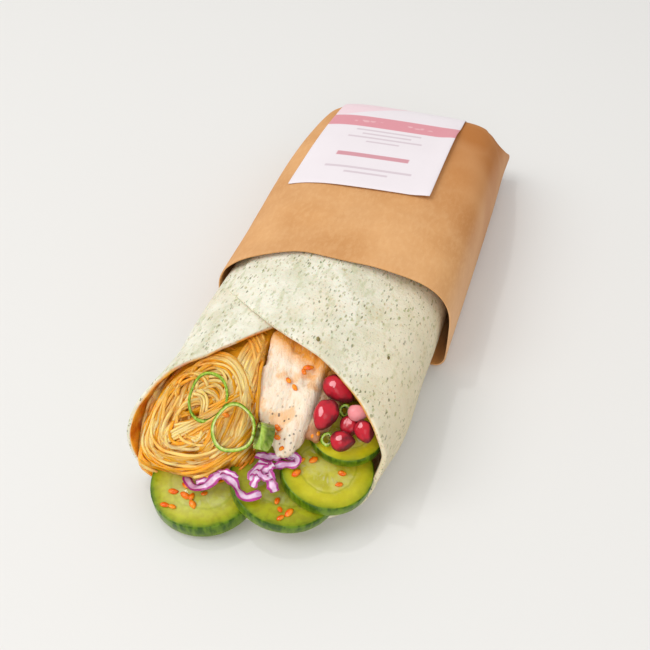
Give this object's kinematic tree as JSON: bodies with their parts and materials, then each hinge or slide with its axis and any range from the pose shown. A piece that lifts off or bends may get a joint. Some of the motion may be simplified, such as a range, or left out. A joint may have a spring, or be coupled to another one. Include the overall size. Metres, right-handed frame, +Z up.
{
  "type": "grilled chicken wrap",
  "caption": "Rolled soft tortilla filled with grilled chicken, glass noodles and vegetables, its rear half in a folded brown paper sleeve with a plain label.",
  "frame": {"origin": "under the middle of the wrap's box, on the surface that it lies on", "axes": "+Y along the wrap from its open mouth towards the folded end of the sleeve, +Z up, +X to the right when looking along +Y"},
  "size_m": [0.1022, 0.2654, 0.0469],
  "materials": {
    "tortilla": "matte, dry, with herb flecks and toasted spots",
    "brown_paper": "matte",
    "label_sheet": "satin",
    "glass_noodle": "moist, translucent",
    "chicken_meat": "moist, fibrous",
    "cucumber_flesh": "wet, translucent, with a dark green rind",
    "cabbage_leaf": "moist",
    "onion_green": "moist",
    "pomegranate_flesh": "glossy, translucent"
  },
  "bodies": {
    "root": {"tortilla": "tortilla", "paper_sleeve": "brown_paper", "label": "label_sheet", "noodles": "glass_noodle", "chicken_1": "chicken_meat", "chicken_2": "chicken_meat", "cucumber_slice_1": "cucumber_flesh", "cucumber_slice_2": "cucumber_flesh", "cucumber_slice_3": "cucumber_flesh", "cucumber_slice_4": "cucumber_flesh", "pomegranate_seed_1": "pomegranate_flesh", "pomegranate_seed_2": "pomegranate_flesh", "pomegranate_seed_3": "pomegranate_flesh", "pomegranate_seed_4": "pomegranate_flesh", "pomegranate_seed_5": "pomegranate_flesh", "pomegranate_seed_6": "pomegranate_flesh", "spring_onion_1": "onion_green", "spring_onion_2": "onion_green", "spring_onion_3": "onion_green", "spring_onion_4": "onion_green", "spring_onion_5": "onion_green", "red_cabbage_1": "cabbage_leaf", "red_cabbage_2": "cabbage_leaf", "red_cabbage_3": "cabbage_leaf"}
  },
  "joints": []
}
